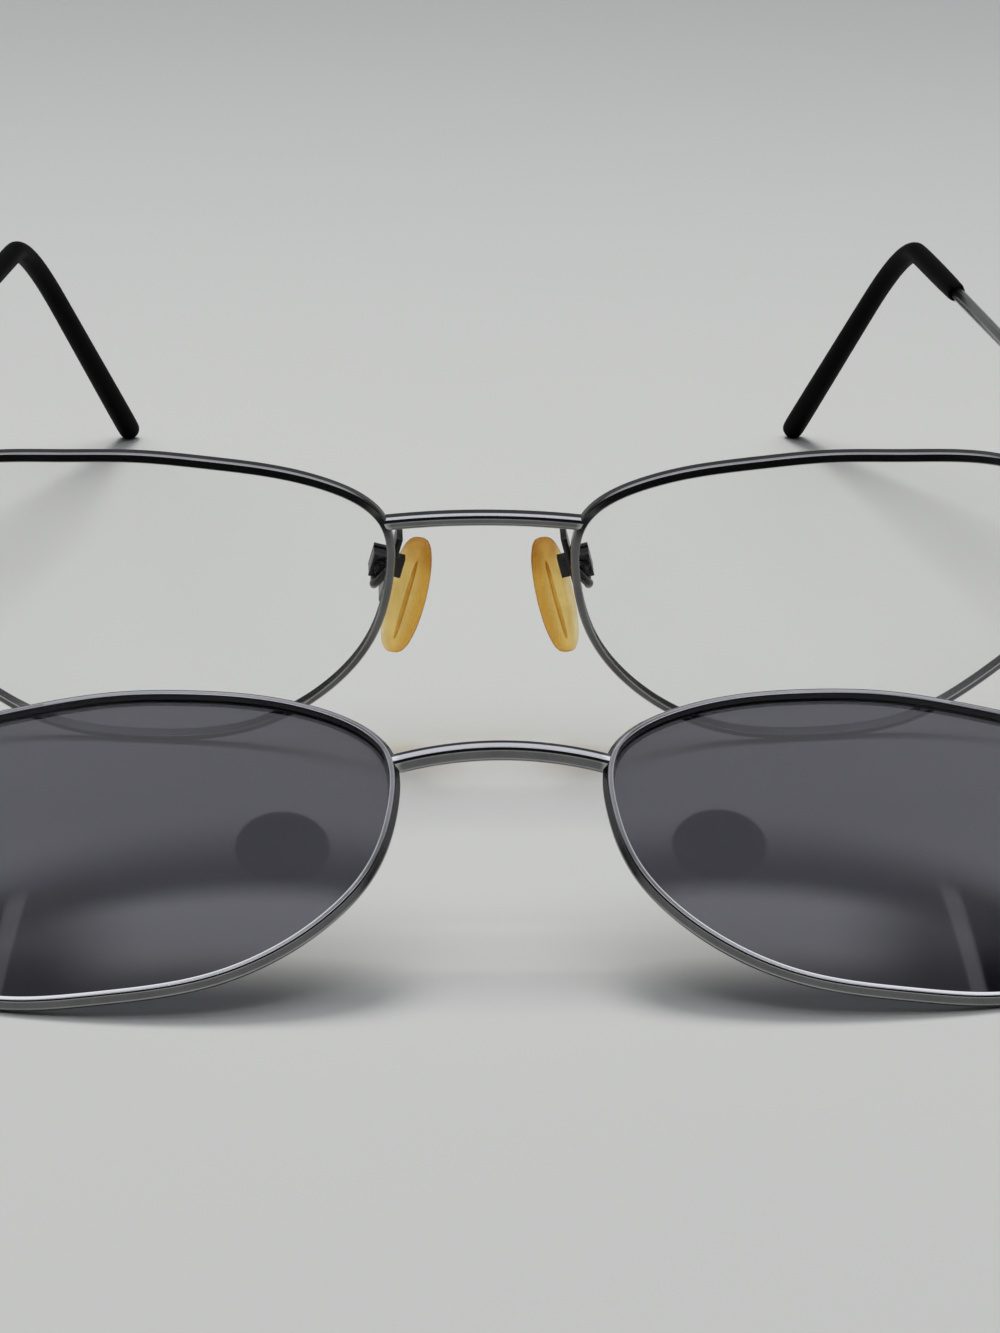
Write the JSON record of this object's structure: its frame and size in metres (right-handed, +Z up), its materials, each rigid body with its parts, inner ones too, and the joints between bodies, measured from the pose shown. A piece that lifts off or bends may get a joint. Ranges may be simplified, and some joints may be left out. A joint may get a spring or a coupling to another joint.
{
  "type": "clip-on eyeglasses",
  "caption": "Thin metal eyeglasses standing open on folding temples, with rocking nose pads and a matching tinted sunglass clip propped on its hooks in front.",
  "frame": {"origin": "on the resting surface, under the middle of the box round the whole set", "axes": "+Z up, -Y the way the glasses look, +Y along the temples, +X the wearer's left"},
  "size_m": [0.1334, 0.2058, 0.0323],
  "materials": {
    "frame_metal": "dark pewter, satin with crisp highlights",
    "steel": "plain dark steel",
    "clear_lens": "clear, polished",
    "tinted_lens": "grey tint, polished",
    "nose_pad": "translucent amber",
    "temple_tip": "satin black"
  },
  "bodies": {
    "front": {"left_eyewire": "frame_metal", "right_eyewire": "frame_metal", "bridge": "frame_metal", "left_end_piece": "frame_metal", "right_end_piece": "frame_metal", "left_upper_closing_block": "frame_metal", "left_lower_closing_block": "frame_metal", "right_upper_closing_block": "frame_metal", "right_lower_closing_block": "frame_metal", "left_closing_screw": "steel", "right_closing_screw": "steel", "left_front_hinge": "steel", "right_front_hinge": "steel", "left_hinge_screw": "steel", "right_hinge_screw": "steel", "left_clear_lens": "clear_lens", "right_clear_lens": "clear_lens", "left_pad_arm": "steel", "right_pad_arm": "steel", "left_pad_box": "steel", "right_pad_box": "steel", "left_pad_screw": "steel", "right_pad_screw": "steel"},
    "left_side": {"left_temple_hinge": "steel", "left_temple": "frame_metal", "left_temple_tip": "temple_tip"},
    "right_side": {"right_temple_hinge": "steel", "right_temple": "frame_metal", "right_temple_tip": "temple_tip"},
    "left_pad": {"left_nose_pad": "nose_pad"},
    "right_pad": {"right_nose_pad": "nose_pad"},
    "clip": {"left_clip_eyewire": "frame_metal", "right_clip_eyewire": "frame_metal", "clip_bridge": "frame_metal", "left_clip_lens": "tinted_lens", "right_clip_lens": "tinted_lens", "left_upper_hook": "frame_metal", "left_lower_hook": "frame_metal", "right_upper_hook": "frame_metal", "right_lower_hook": "frame_metal"}
  },
  "joints": [
    {"name": "left_temple_fold", "type": "hinge", "parent": "front", "child": "left_side", "pos_m": [0.06365, -0.01807, 0.02445], "axis": [0, -0.1582, 0.9874], "range_deg": [0, 84]},
    {"name": "right_temple_fold", "type": "hinge", "parent": "front", "child": "right_side", "pos_m": [-0.06365, -0.01807, 0.02445], "axis": [0, 0.1582, -0.9874], "range_deg": [-1.4, 76.6]},
    {"name": "left_pad_rock", "type": "hinge", "parent": "front", "child": "left_pad", "pos_m": [0.0099, -0.02643, 0.01812], "axis": [0, 0.9874, 0.1582], "range_deg": [-7, 7]},
    {"name": "right_pad_rock", "type": "hinge", "parent": "front", "child": "right_pad", "pos_m": [-0.0099, -0.02643, 0.01812], "axis": [0, 0.9874, 0.1582], "range_deg": [-7, 7]},
    {"name": "clip_lift", "type": "slide", "parent": "front", "child": "clip", "axis": [0, 0, 1], "range_m": [0, 0.05]}
  ]
}
